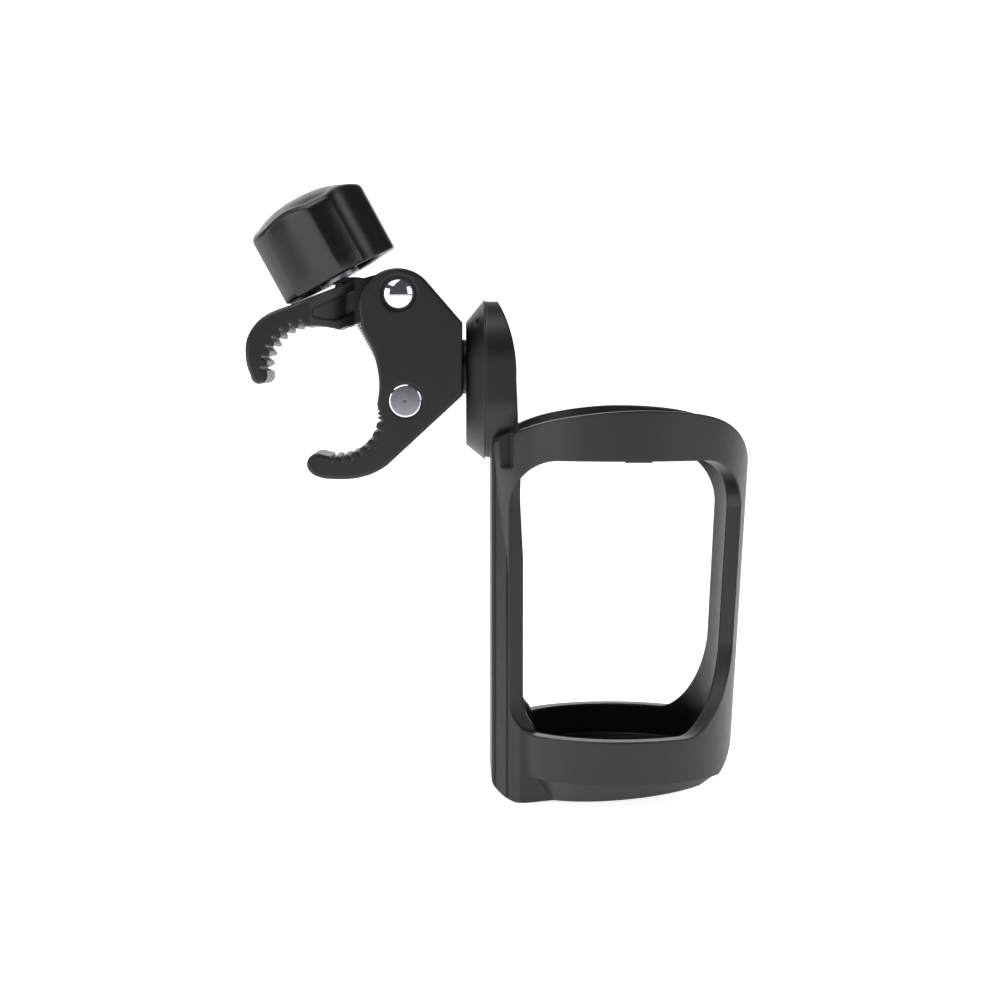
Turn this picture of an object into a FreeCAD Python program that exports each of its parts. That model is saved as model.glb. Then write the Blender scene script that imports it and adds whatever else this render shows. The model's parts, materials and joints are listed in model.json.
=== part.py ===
"""Tube-clamp cup holder, built as separate sub-parts and written as one STEP file each.

Frame: +Z up, X from the clamp to the cup, Y along the clamped tube. The origin is on the
axis of the fixed jaw's tube seat, half way across the clamp. All lengths are millimetres.
"""
import FreeCAD
import Part
import math
import os
import Sketcher

V = FreeCAD.Vector
UP = V(0, 0, 1)

DIMENSIONS = {
    # clamp
    "JawWidth": 32.0,
    "TongueWidth": 16.0,
    "SlotWidth": 16.7,
    "SeatRadius": 14.0,
    "ToothDepth": 2.2,
    "ToothStep": 12.0,
    "ToothCount": 8.0,
    "EdgeRadius": 0.9,
    "PivotAlong": 20.7,
    "PivotHeight": 38.7,
    "PinRadius": 3.0,
    "RecessRadius": 6.0,
    "RecessDepth": 1.6,
    "RunningGap": 0.05,
    "PanelDepth": 1.6,
    # clamp screw
    "NutAlong": 22.9,
    "NutHeight": 4.0,
    "NutRadius": 5.5,
    "NutLength": 32.6,
    "ScrewRadius": 3.0,
    "ScrewTilt": 28.5,
    "ScrewTip": -4.5,
    "WasherSeat": 45.2,
    "WasherThick": 1.2,
    "KnobFoot": 46.0,
    "KnobRadius": 20.9,
    "FluteRadius": 18.3,
    "KnobHeight": 29.5,
    "KnobLobes": 5.0,
    # swivel
    "SwivelHeight": 15.1,
    "NeckRadius": 9.0,
    "CoverFace": 42.8,
    "PlateFace": 49.0,
    "PlateHalf": 20.0,
    # cage
    "CageAxis": 92.7,
    "CageTopRadius": 44.9,
    "CageTaper": 0.0538,
    "CageWall": 4.9,
    "RimHeight": 1.3,
    "BandTop": -104.0,
    "BandFoot": -118.2,
    "FloorTop": -114.6,
    "SpineFace": 50.9,
    "SpineHalf": 20.6,
    "WindowTop": -14.5,
}

document = FreeCAD.newDocument("CupHolder")
sheet = document.addObject("Spreadsheet::Sheet", "Dims")


def fill_sheet():
    """Write every driving dimension to the sheet as a plain number with an alias."""
    for row, (name, value) in enumerate(DIMENSIONS.items(), start=1):
        sheet.set("A%d" % row, name)
        sheet.set("B%d" % row, str(value))
        sheet.setAlias("B%d" % row, name)
    document.recompute()


def dim(name):
    """The value the sheet holds for a dimension."""
    return float(sheet.get(name))


# ---------------------------------------------------------------- curves in a sketch plane
def line(a, b):
    """Straight edge between two (across, up) points."""
    return Part.LineSegment(V(a[0], a[1], 0), V(b[0], b[1], 0))


def polygon(points):
    """Closed run of straight edges."""
    return [line(a, b) for a, b in zip(points, points[1:] + points[:1])]


def chain(points):
    """Open run of straight edges."""
    return [line(a, b) for a, b in zip(points, points[1:])]


def arc(centre, radius, start, end):
    """Arc from start to end in degrees, turning anticlockwise from start to end."""
    circle = Part.Circle(V(centre[0], centre[1], 0), UP, radius)
    return Part.ArcOfCircle(circle, math.radians(start), math.radians(end))


def spline(points):
    """Smooth curve through the points."""
    curve = Part.BSplineCurve()
    curve.interpolate([V(p[0], p[1], 0) for p in points])
    return curve


def on_circle(centre, radius, degrees):
    """Point at an angle on a circle."""
    turn = math.radians(degrees)
    return (centre[0] + radius * math.cos(turn), centre[1] + radius * math.sin(turn))


def turned(point, centre, degrees):
    """Point turned anticlockwise about a centre."""
    turn = math.radians(degrees)
    x, y = point[0] - centre[0], point[1] - centre[1]
    return (
        centre[0] + x * math.cos(turn) - y * math.sin(turn),
        centre[1] + x * math.sin(turn) + y * math.cos(turn),
    )


# ---------------------------------------------------------------- design steps
def new_body(label):
    """An empty design body that carries the sub-part's name."""
    body = document.addObject("PartDesign::Body", label)
    body.Label = label
    body.Placement = FreeCAD.Placement()
    return body


def sketch_on(body, name, role, curves, offset=(0, 0, 0), axis=UP, degrees=0.0):
    """Sketch on one of the body's own origin planes, moved and turned in the plane's own axes."""
    sketch = body.newObject("Sketcher::SketchObject", name)
    plane = [f for f in body.Origin.OriginFeatures if f.Role == role][0]
    sketch.AttachmentSupport = (plane, [""])
    sketch.MapMode = "FlatFace"
    sketch.AttachmentOffset = FreeCAD.Placement(V(*offset), FreeCAD.Rotation(axis, degrees))
    for curve in curves:
        sketch.addGeometry(curve, False)
    document.recompute()
    return sketch


def circle_sketch(body, name, role, centre, radius, offset=(0, 0, 0)):
    """Sketch of one circle whose radius follows an expression or a number."""
    value = radius if isinstance(radius, float) else 1.0
    curve = Part.Circle(V(centre[0], centre[1], 0), UP, value)
    sketch = sketch_on(body, name, role, [curve], offset)
    index = sketch.addConstraint(Sketcher.Constraint("Radius", 0, value))
    if not isinstance(radius, float):
        sketch.setExpression("Constraints[%d]" % index, radius)
        document.recompute()
    return sketch


def extrude(body, kind, sketch, length, symmetric=True, reverse=False):
    """Pad or Pocket of a sketch; length is an expression or a number."""
    step = body.newObject("PartDesign::" + kind, sketch.Name + kind)
    step.Profile = sketch
    step.Midplane = symmetric
    step.Reversed = reverse
    if isinstance(length, float):
        step.Length = length
    else:
        step.setExpression("Length", length)
    document.recompute()
    return step


def spin(body, kind, sketch, axis):
    """Full Revolution or Groove of a sketch about one of its own axes."""
    step = body.newObject("PartDesign::" + kind, sketch.Name + kind)
    step.Profile = sketch
    step.ReferenceAxis = (sketch, [axis])
    step.Angle = 360.0
    document.recompute()
    return step


def round_pattern(body, feature, sketch, count, step_degrees, reverse):
    """Copies of a feature about the sketch's normal, a fixed angle apart."""
    pattern = body.newObject("PartDesign::PolarPattern", feature.Name + "Ring")
    pattern.Originals = [feature]
    pattern.Axis = (sketch, ["N_Axis"])
    pattern.Reversed = reverse
    pattern.Occurrences = int(count)
    pattern.Angle = (count - 1) * step_degrees
    body.Tip = pattern
    document.recompute()
    return pattern


def soften(body, feature, kind, size, wanted):
    """Fillet or Chamfer on the feature's edges whose middle passes the test."""
    names = []
    for index, edge in enumerate(feature.Shape.Edges, start=1):
        middle = edge.valueAt((edge.FirstParameter + edge.LastParameter) / 2)
        ends = [vertex.Point for vertex in edge.Vertexes]
        if wanted(middle, ends):
            names.append("Edge%d" % index)
    step = body.newObject("PartDesign::" + kind, feature.Name + kind)
    step.Base = (feature, names)
    step.setExpression("Radius" if kind == "Fillet" else "Size", size)
    document.recompute()
    return step


def on_side_faces(half):
    """Test for edges that lie in one of the two side faces."""

    def test(middle, ends):
        flat = all(abs(abs(p.y) - half) < 0.01 for p in ends)
        return flat and abs(abs(middle.y) - half) < 0.01

    return test


# ---------------------------------------------------------------- clamp screw's own line
def along_screw(distance, side=0.0):
    """(X, Z) at a distance up the screw from the nut, and to the side of it."""
    tilt = math.radians(dim("ScrewTilt"))
    x = dim("NutAlong") - distance * math.sin(tilt) + side * math.cos(tilt)
    z = dim("NutHeight") + distance * math.cos(tilt) + side * math.sin(tilt)
    return (x, z)


def drill_on_screw(body, name, radius, low, high):
    """Round hole through a body along the clamp screw's line."""
    profile = polygon([(0, low), (radius, low), (radius, high), (0, high)])
    spot = (dim("NutAlong"), dim("NutHeight"), 0)
    spin(body, "Groove", sketch_on(body, name, "XZ_Plane", profile, spot, UP, dim("ScrewTilt")), "V_Axis")


def screw_placement():
    """Places a piece drawn along +Z from the nut on the clamp screw's line."""
    spot = V(dim("NutAlong"), 0, dim("NutHeight"))
    return FreeCAD.Placement(spot, FreeCAD.Rotation(V(0, 1, 0), -dim("ScrewTilt")))


def pivot():
    """(X, Z) of the jaw's pivot pin."""
    return (dim("PivotAlong"), dim("PivotHeight"))


def tooth_gap(radius, depth, degrees, half_mouth):
    """V-shaped gap that opens onto a seat of the given radius at an angle."""
    outer = radius + depth
    mouth = radius - 0.6
    points = [(mouth, -half_mouth - 0.15), (outer, -0.2), (outer, 0.2), (mouth, half_mouth + 0.15)]
    return polygon([turned(p, (0, 0), degrees) for p in points])


# ---------------------------------------------------------------- clamp
def make_clamp_body():
    """Fixed jaw, the two cheeks that hold the pins, and the neck of the swivel."""
    body = new_body("clamp_body")
    seat = dim("SeatRadius")
    tip = on_circle((0, 0), seat + 3.5, -109.0)
    cheek, cheek_radius = (20.5, 34.3), 12.7
    cheek_left = on_circle(cheek, cheek_radius, 180.0)
    seat_top = on_circle((0, 0), seat, 12.0)
    tip_left = on_circle(tip, 3.5, 205.0)
    outline = [
        arc((0, 0), seat, -109.0, 12.0),
        spline([seat_top, (14.1, 5.2), (14.4, 9.2), (13.6, 15.7), (12.1, 20.7), (9.7, 25.6),
            (8.3, 30.3), cheek_left]),
        arc(cheek, cheek_radius, 38.0, 180.0),
    ]
    outline += chain([on_circle(cheek, cheek_radius, 38.0), (41.5, 29.4), (41.5, 5.8), (17.2, -16.7)])
    outline.append(
        spline([(17.2, -16.7), (13.2, -19.2), (6.6, -21.2), (0.0, -21.5), (-4.9, -20.9),
            (-7.6, -19.6), tip_left])
    )
    outline.append(arc(tip, 3.5, 71.0, 205.0))
    blank = extrude(body, "Pad", sketch_on(body, "ClampOutline", "XZ_Plane", outline), "Dims.JawWidth")

    half = dim("JawWidth") / 2
    flat = on_side_faces(half)

    def outside_seat(middle, ends):
        return flat(middle, ends) and math.hypot(middle.x, middle.z) > seat + 0.1

    soften(body, blank, "Fillet", "Dims.EdgeRadius", outside_seat)

    swivel = dim("SwivelHeight")
    neck = circle_sketch(body, "Neck", "YZ_Plane", (0, swivel), "Dims.NeckRadius", (0, 0, 41.0))
    extrude(body, "Pad", neck, 5.4, symmetric=False)

    px, pz = pivot()
    slot = [(px + 10.6, 60.0), (px + 10.6, pz),
        (px + 8.6, pz - 6.2), along_screw(24.0, 4.4), along_screw(14.5, 4.4)]
    slot += [along_screw(14.5, -30.0), (-10.0, 60.0)]
    cut = sketch_on(body, "Slot", "XZ_Plane", polygon(slot))
    extrude(body, "Pocket", cut, "Dims.SlotWidth")

    run = dim("PinRadius") + dim("RunningGap")
    floor, deep = half - dim("RecessDepth"), half + 2
    wide = dim("RecessRadius")
    steps = [(-deep, 0), (-deep, wide), (-floor, wide), (-floor, run), (floor, run),
        (floor, wide), (deep, wide), (deep, 0)]
    bore = sketch_on(body, "PivotBore", "YZ_Plane", polygon(steps), (0, pz, px))
    spin(body, "Groove", bore, "H_Axis")

    nut = circle_sketch(
        body, "NutBore", "XZ_Plane", (dim("NutAlong"), dim("NutHeight")), "Dims.NutRadius + Dims.RunningGap"
    )
    extrude(body, "Pocket", nut, 60.0)

    drill_on_screw(body, "ScrewChannel", 4.1, -10.4, 22.0)

    pilot = circle_sketch(body, "Pilot", "YZ_Plane", (0, swivel), 2.5, (0, 0, 46.4))
    extrude(body, "Pocket", pilot, 15.0, symmetric=False)

    teeth = sketch_on(body, "Teeth", "XZ_Plane", tooth_gap(seat, dim("ToothDepth"), -9.8, 0.75))
    gap = extrude(body, "Pocket", teeth, 60.0)
    round_pattern(body, gap, teeth, dim("ToothCount"), dim("ToothStep"), True)
    first = tooth_gap(seat, 0.6, 2.6, 0.35)
    second = tooth_gap(seat, 1.2, -3.6, 0.4)
    small = sketch_on(body, "SmallTeeth", "XZ_Plane", first + second)
    extrude(body, "Pocket", small, 60.0)
    return body


def jaw_outline(centre, crest, shoulder):
    """Side view of the upper jaw's hook and arm, as far as the shoulder."""
    thick = 2.65
    tip = on_circle(centre, crest + thick, 188.5)
    back = [on_circle(tip, thick, 180.0), (-28.2, 15.0), (-28.8, 19.6), (-28.4, 23.8),
        (-26.9, 27.1), (-24.3, 30.2)]
    back += [(-19.6, 33.1), (-14.0, 35.1), (-9.0, 37.1), (-1.7, 40.1), (shoulder, 43.7)]
    return [
        arc(centre, crest, 94.0, 188.5),
        arc(tip, thick, 180.0, 368.5),
        spline(back),
        line((shoulder, 43.7), (shoulder, 29.3)),
        line((shoulder, 29.3), (1.0, 27.2)),
        spline([(1.0, 27.2), (-2.0, 28.0), (-5.5, 28.4), on_circle(centre, crest, 94.0)]),
    ]


def make_moving_jaw():
    """Upper jaw: toothed hook, hollow-sided arm and the tongue that swings between the cheeks."""
    body = new_body("moving_jaw")
    centre, crest = (-8.4, 14.6), 13.6
    wide, narrow = dim("JawWidth") / 2, dim("TongueWidth") / 2
    start, shoulder = -8.0, 6.3
    outline = jaw_outline(centre, crest, shoulder)
    blank = extrude(body, "Pad", sketch_on(body, "HookOutline", "XZ_Plane", outline), "Dims.JawWidth")

    def outside_teeth(middle, ends):
        away = math.hypot(middle.x - centre[0], middle.z - centre[1])
        return on_side_faces(wide)(middle, ends) and away > crest + 0.1

    soften(body, blank, "Chamfer", "Dims.EdgeRadius", outside_teeth)
    panel = [(1.2, 33.6), (16.7, 40.3), (16.7, 33.4), (10.4, 30.2), (5.8, 30.4), (1.2, 31.2)]
    lean = math.degrees(math.atan2(wide - narrow, shoulder - start))
    for name, side in (("Near", 1), ("Far", -1)):
        beyond = -side * 18.0
        wedge = [(start, -side * wide), (shoulder, -side * narrow), (shoulder + 0.1, beyond), (start, beyond)]
        extrude(body, "Pocket", sketch_on(body, "Taper" + name, "XY_Plane", polygon(wedge)), 120.0)
        spot = (start, 0, side * wide)
        sunk = sketch_on(body, "Panel" + name, "XZ_Plane", polygon(panel), spot, V(0, 1, 0), side * lean)
        extrude(body, "Pocket", sunk, 2.0 * dim("PanelDepth"))

    px, pz = pivot()
    tail = 8.4
    low, high = on_circle((px, pz), tail, 229.55), on_circle((px, pz), tail, 95.0)
    tongue = chain([high, (4.0, 42.6), (4.0, 28.2), low]) + [arc((px, pz), tail, 229.55, 455.0)]
    extrude(body, "Pad", sketch_on(body, "Tongue", "XZ_Plane", tongue), "Dims.TongueWidth")

    crown, radius = (6.13, 30.95), 13.45
    left, right = 122.0, 72.0
    left_end, right_end = on_circle(crown, radius, left), on_circle(crown, radius, right)
    pad_curves = [arc(crown, radius, right, left), line(left_end, right_end)]
    extrude(body, "Pad", sketch_on(body, "Crown", "XZ_Plane", pad_curves), "Dims.TongueWidth")

    bore = circle_sketch(body, "JawBore", "XZ_Plane", (px, pz), "Dims.PinRadius + Dims.RunningGap")
    extrude(body, "Pocket", bore, 60.0)
    cut_screw_slot(body)

    spot = (centre[0], centre[1], 0)
    teeth = sketch_on(body, "JawTeeth", "XZ_Plane", tooth_gap(crest, dim("ToothDepth"), 99.6, 1.15), spot)
    gap = extrude(body, "Pocket", teeth, 60.0)
    round_pattern(body, gap, teeth, 7, 13.3, False)
    return body


def cut_screw_slot(body):
    """Slot through the jaw that clears the screw at both ends of the jaw's swing."""
    swing, lean, side = 18.0, 3.6, dim("ScrewRadius") + 0.5
    edges = [[along_screw(18.0, s), along_screw(50.0, s)] for s in (-side, side)]
    nut = (dim("NutAlong"), dim("NutHeight"))
    shut = [[turned(turned(p, nut, lean), pivot(), -swing) for p in edge] for edge in edges]
    for name, (left, right) in (("SlotOpen", edges), ("SlotShut", shut)):
        cut = sketch_on(body, name, "XZ_Plane", polygon([left[0], left[1], right[1], right[0]]))
        extrude(body, "Pocket", cut, 2 * (dim("ScrewRadius") + 0.4))


def make_pivot_rivet():
    """Steel rivet the jaw turns on: shank, domed head in the near recess, peened end in the far one."""
    body = new_body("pivot_rivet")
    px, pz = pivot()
    half, radius = dim("JawWidth") / 2, dim("PinRadius")
    floor = half - dim("RecessDepth")
    head, foot = -floor - 0.02, floor + 1.02
    profile = chain([(head - 2.3, 0), (foot + 0.9, 0)])
    profile.append(spline([(foot + 0.9, 0), (foot + 0.75, 1.9), (foot + 0.3, 3.5), (foot, 4.0)]))
    profile += chain([(foot, 4.0), (foot, radius), (head, radius), (head, 5.2), (head - 0.45, 5.2)])
    profile.append(spline([(head - 0.45, 5.2), (head - 1.35, 4.2), (head - 2.0, 2.5), (head - 2.3, 0)]))
    sketch = sketch_on(body, "RivetProfile", "YZ_Plane", profile, (0, pz, px))
    spin(body, "Revolution", sketch, "H_Axis")
    return body


def make_rivet_washer():
    """Thin washer under the rivet's peened end."""
    body = new_body("rivet_washer")
    px, pz = pivot()
    floor = dim("JawWidth") / 2 - dim("RecessDepth")
    ring = [(floor + 0.02, 3.06), (floor + 1.0, 3.06), (floor + 1.0, 5.4), (floor + 0.02, 5.4)]
    sketch = sketch_on(body, "WasherProfile", "YZ_Plane", polygon(ring), (0, pz, px))
    spin(body, "Revolution", sketch, "H_Axis")
    return body


def make_barrel_nut():
    """Cross dowel the clamp screw threads into; it can turn in the cheeks."""
    body = new_body("barrel_nut")
    half, radius = dim("NutLength") / 2, dim("NutRadius")
    profile = polygon([
        (-half, 0.5), (-half, radius - 0.5), (-half + 0.5, radius), (half - 0.5, radius),
        (half, radius - 0.5),
        (half, 0.5), (half - 0.5, 0), (-half + 0.5, 0),
    ])
    spot = (0, dim("NutHeight"), dim("NutAlong"))
    sketch = sketch_on(body, "NutProfile", "YZ_Plane", profile, spot)
    spin(body, "Revolution", sketch, "H_Axis")
    drill_on_screw(body, "NutThread", dim("ScrewRadius") + dim("RunningGap"), -8.0, 8.0)
    return body


# ---------------------------------------------------------------- knob and screw
def make_clamp_screw():
    """Hex-head screw that is moulded into the knob and threads into the barrel nut."""
    body = new_body("clamp_screw")
    radius, tip, top = dim("ScrewRadius"), dim("ScrewTip"), dim("KnobFoot") + 16.0
    profile = polygon([(0, tip), (radius - 0.7, tip), (radius, tip + 0.7), (radius, top + 0.2),
        (0, top + 0.2)])
    spin(body, "Revolution", sketch_on(body, "Shank", "XZ_Plane", profile), "V_Axis")
    corners = [on_circle((0, 0), 5.0 / math.cos(math.radians(30)), 60 * k) for k in range(6)]
    head = sketch_on(body, "Head", "XY_Plane", polygon(corners), (0, 0, top))
    extrude(body, "Pad", head, 4.0, symmetric=False)
    body.Placement = screw_placement()
    document.recompute()
    return body


def make_thrust_washer():
    """Steel washer between the knob's hub and the arm's crowned pad."""
    body = new_body("thrust_washer")
    low = dim("WasherSeat")
    high = low + dim("WasherThick")
    ring = polygon([(3.3, low), (7.0, low), (7.0, high), (3.3, high)])
    spin(body, "Revolution", sketch_on(body, "ThrustProfile", "XZ_Plane", ring), "V_Axis")
    body.Placement = screw_placement()
    document.recompute()
    return body


def lobed_wire(height):
    """Knob outline: wide concave flutes between narrow round lobes."""
    lobes, wide, deep = int(dim("KnobLobes")), dim("KnobRadius"), dim("FluteRadius")
    step = 360.0 / lobes
    land = 11.0
    edges = []
    for index in range(lobes):
        middle = index * step + 270.0 + 17.5
        a = V(*on_circle((0, 0), wide, middle - land), height)
        b = V(*on_circle((0, 0), wide + 0.05, middle), height)
        c = V(*on_circle((0, 0), wide, middle + land), height)
        d = V(*on_circle((0, 0), deep, middle + step / 2), height)
        e = V(*on_circle((0, 0), wide, middle + step - land), height)
        edges.append(Part.Arc(a, b, c).toShape())
        edges.append(Part.Arc(c, d, e).toShape())
    return Part.Wire(edges)


def make_knob():
    """Domed, fluted hand knob, hollow from below, with a hub and six ribs."""
    foot, tall = dim("KnobFoot"), dim("KnobHeight")
    wide = dim("KnobRadius")
    block = Part.Face(lobed_wire(foot)).extrude(V(0, 0, tall))
    top = foot + tall
    side = [V(0, 0, foot), V(wide + 0.2, 0, foot), V(wide + 0.2, 0, top - 6.8)]
    shoulder = Part.BSplineCurve()
    shoulder.interpolate([
        side[2], V(wide - 0.5, 0, top - 5.2), V(wide - 3.0, 0, top - 3.5), V(wide - 9.0, 0,
        top - 1.2), V(0, 0, top),
    ])
    edges = [Part.makeLine(side[0], side[1]), Part.makeLine(side[1], side[2]), shoulder.toShape()]
    edges.append(Part.makeLine(V(0, 0, top), V(0, 0, foot)))
    dome = Part.Face(Part.Wire(edges)).revolve(V(0, 0, 0), UP, 360)
    solid = block.common(dome)
    hollow = Part.makeCylinder(15.7, 18.5, V(0, 0, foot - 1))
    inside = foot + 17.5
    hub = Part.makeCylinder(7.0, inside - foot, V(0, 0, foot + 0.45))
    ribs = []
    for index in range(6):
        rib = Part.makeBox(9.5, 1.6, inside - foot - 2.4, V(6.5, -0.8, foot + 2.6))
        rib.rotate(V(0, 0, 0), UP, 60 * index + 30)
        ribs.append(rib)
    solid = solid.cut(hollow.cut(hub.fuse(ribs)))
    bore = Part.makeCylinder(dim("ScrewRadius") + 0.03, 17.0, V(0, 0, foot - 1))
    corners = [V(*on_circle((0, 0), 5.05 / math.cos(math.radians(30)), 60 * k),
        foot + 15.97) for k in range(6)]
    pocket = Part.Face(Part.makePolygon(corners + corners[:1])).extrude(V(0, 0, 4.06))
    solid = solid.cut(bore.fuse(pocket))
    knob = document.addObject("Part::Feature", "knob")
    knob.Label = "knob"
    knob.Shape = solid.removeSplitter()
    knob.Placement = screw_placement()
    return knob


# ---------------------------------------------------------------- swivel
def stadium(radius, high, low):
    """Upright rounded outline in (Y, Z): two half circles joined by straight sides."""
    return [
        arc((0, high), radius, 0.0, 180.0),
        line((-radius, high), (-radius, low)),
        arc((0, low), radius, 180.0, 360.0),
        line((radius, low), (radius, high)),
    ]


def make_swivel_cover():
    """Front cover of the swivel: tapers to a flat face round the clamp's neck."""
    body = new_body("swivel_cover")
    face, plate, half = dim("CoverFace"), dim("PlateFace"), dim("PlateHalf")
    front = sketch_on(body, "CoverFront", "YZ_Plane", stadium(13.7, 16.2, 2.9), (0, 0, face))
    back = sketch_on(body, "CoverBack", "YZ_Plane", stadium(half, 17.5, 4.2), (0, 0, plate - 0.02))
    loft = body.newObject("PartDesign::AdditiveLoft", "CoverLoft")
    loft.Profile = front
    loft.Sections = [back]
    loft.Ruled = True
    document.recompute()
    swivel = dim("SwivelHeight")
    neck = circle_sketch(body, "CoverBore", "YZ_Plane", (0, swivel), "Dims.NeckRadius + 0.15", (0, 0, face))
    extrude(body, "Pocket", neck, 20.0)
    well = circle_sketch(body, "CoverWell", "YZ_Plane", (0, swivel), 15.6, (0, 0, plate))
    extrude(body, "Pocket", well, 3.6, symmetric=False)
    for index, (y, z) in enumerate(cover_screw_spots()):
        pilot = circle_sketch(body, "CoverPilot%s" % "abcd"[index], "YZ_Plane", (y, z), 1.4, (0, 0, plate))
        extrude(body, "Pocket", pilot, 2.9, symmetric=False)
    return body


def cover_screw_spots():
    """(Y, Z) of the four screws that hold the cover."""
    return [(-11.0, 29.0), (11.0, 29.0), (-10.5, -7.0), (10.5, -7.0)]


def make_friction_washer():
    """Nylon ring between the cover and the retaining disc."""
    body = new_body("friction_washer")
    ring = [(45.5, 9.4), (46.3, 9.4), (46.3, 15.0), (45.5, 15.0)]
    sketch = sketch_on(body, "FrictionProfile", "XZ_Plane", polygon(ring), (0, dim("SwivelHeight"), 0))
    spin(body, "Revolution", sketch, "H_Axis")
    return body


def make_swivel_disc():
    """Steel disc on the neck's end; it keeps the cover on the clamp."""
    body = new_body("swivel_disc")
    ring = [(46.42, 2.7), (48.4, 2.7), (48.4, 15.2), (46.42, 15.2)]
    sketch = sketch_on(body, "DiscProfile", "XZ_Plane", polygon(ring), (0, dim("SwivelHeight"), 0))
    spin(body, "Revolution", sketch, "H_Axis")
    return body


def make_swivel_screw():
    """Pan-head screw that holds the disc on the neck."""
    body = new_body("swivel_screw")
    ring = [(32.5, 0), (32.5, 1.6), (33.5, 2.45), (48.42, 2.45), (48.42, 4.6), (50.6, 4.6),
        (51.4, 3.6), (51.4, 0)]
    sketch = sketch_on(body, "SwivelScrewProfile", "XZ_Plane", polygon(ring), (0, dim("SwivelHeight"), 0))
    spin(body, "Revolution", sketch, "H_Axis")
    cross = [(-2.3, -0.4), (-0.4, -0.4), (-0.4, -2.3), (0.4, -2.3), (0.4, -0.4), (2.3, -0.4)]
    cross += [(-a, -b) for a, b in cross]
    spot = (0, dim("SwivelHeight"), 51.4)
    drive = sketch_on(body, "SwivelDrive", "YZ_Plane", polygon(cross), spot)
    extrude(body, "Pocket", drive, 1.4, symmetric=False)
    return body


def make_cover_screws():
    """Four small screws, put in from the cup's side, that hold the cover on the cage."""
    screws = []
    for y, z in cover_screw_spots():
        shank = Part.makeCylinder(1.35, 7.2, V(46.4, y, z), V(1, 0, 0))
        head = Part.makeCylinder(2.3, 1.6, V(53.5, y, z), V(1, 0, 0))
        slot = Part.makeBox(0.8, 0.8, 3.6, V(54.5, y - 0.4, z - 1.8))
        bar = Part.makeBox(0.8, 3.6, 0.8, V(54.5, y - 1.8, z - 0.4))
        screws.append(shank.fuse(head).cut(slot.fuse(bar)))
    group = document.addObject("Part::Feature", "cover_screws")
    group.Label = "cover_screws"
    group.Shape = Part.makeCompound(screws)
    return group


# ---------------------------------------------------------------- cage
def cage_radius(height):
    """Outer radius of the tapered cage at a height."""
    return dim("CageTopRadius") + (height - dim("RimHeight")) * dim("CageTaper")


def cone(low, high, inset):
    """Solid cone frustum of the cage between two heights, inset from the outside."""
    start, end = cage_radius(low) - inset, cage_radius(high) - inset
    return Part.makeCone(start, end, high - low, V(dim("CageAxis"), 0, low))


def side_prism(curves, half):
    """Solid whose side view is the closed run of curves, half wide each way in Y."""
    edges = [curve.toShape() for curve in curves]
    wire = Part.Wire(Part.__sortEdges__(edges))
    turn = FreeCAD.Placement(V(0, half, 0), FreeCAD.Rotation(V(1, 0, 0), 90))
    wire.Placement = turn
    return Part.Face(wire).extrude(V(0, -2 * half, 0))


def envelope():
    """Side view of the cage: crowned rim, rounded front corners and slanted underside."""
    rim = spline([
        (50.0, -9.6), (57.9, -5.9), (66.9, -2.5), (77.9, -0.2), (92.7, 1.3), (106.0, 1.2),
        (115.0, 0.4), (122.5, -1.2),
        (129.0, -4.6), (133.6, -9.8), (136.2, -17.0), (137.2, -26.0),
    ])
    front = line((137.2, -26.0), (132.0, -104.0))
    corner = spline([(132.0, -104.0), (131.2, -109.0), (129.2, -113.4), (127.0, -116.6), (124.0, -118.9)])
    foot = chain([(124.0, -118.9), (118.5, -121.3), (62.0, -126.7), (58.5, -126.7)])
    heel = spline([(58.5, -126.7), (56.0, -125.9), (53.2, -124.2), (51.4, -122.2), (50.9, -119.5)])
    back = chain([(50.9, -119.5), (50.0, -119.5), (50.0, -9.6)])
    return side_prism([rim, front, corner] + foot + [heel] + back, 60.0)


def quarter(start, wide, tall):
    """Points of a quarter ellipse that leaves start upright and ends level, wide and tall away from it."""
    turns = [math.radians(90.0 * index / 8) for index in range(9)]
    return [(start[0] + wide * (1 - math.cos(t)), start[1] + tall * math.sin(t)) for t in turns]


def window_slice(low_corner, top_corner, edge, reach, side):
    """Closed wire in an upright plane: rounded corners on one side, square corners at edge on the other."""
    wires = []
    for points in (low_corner, top_corner):
        curve = Part.BSplineCurve()
        curve.interpolate([V(x, 0, z) for x, z in points])
        wires.append(curve.toShape())
    low_end, top_end = (edge, dim("BandTop")), (edge, dim("WindowTop"))
    for start, end in ((low_corner[0], top_corner[0]), (low_corner[-1], low_end), (low_end, top_end),
                       (top_end, top_corner[-1])):
        wires.append(Part.makeLine(V(start[0], 0, start[1]), V(end[0], 0, end[1])))
    wire = Part.Wire(Part.__sortEdges__(wires))
    wire.translate(V(0, side * reach, 0))
    return wire


def window_back(side):
    """Room behind a window's back edge: upright and straight outside, splayed where it meets the cup space."""
    top, low = dim("WindowTop"), dim("BandTop")
    solids = []
    layers = ((8.0, 20.0, 61.1, 61.1), (20.0, 21.5, 61.1, 56.7), (21.5, 60.0, 56.7, 56.7))
    for near, far, near_x, far_x in layers:
        slices = []
        for reach, x in ((near, near_x), (far, far_x)):
            low_corner = quarter((x, low + 11.0), 9.0, -11.0)
            top_corner = quarter((x, top - 16.0), 15.0, 16.0)
            slices.append(window_slice(low_corner, top_corner, 160.0, reach, side))
        solids.append(Part.makeLoft(slices, True, True))
    return solids[0].fuse(solids[1:])


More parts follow.
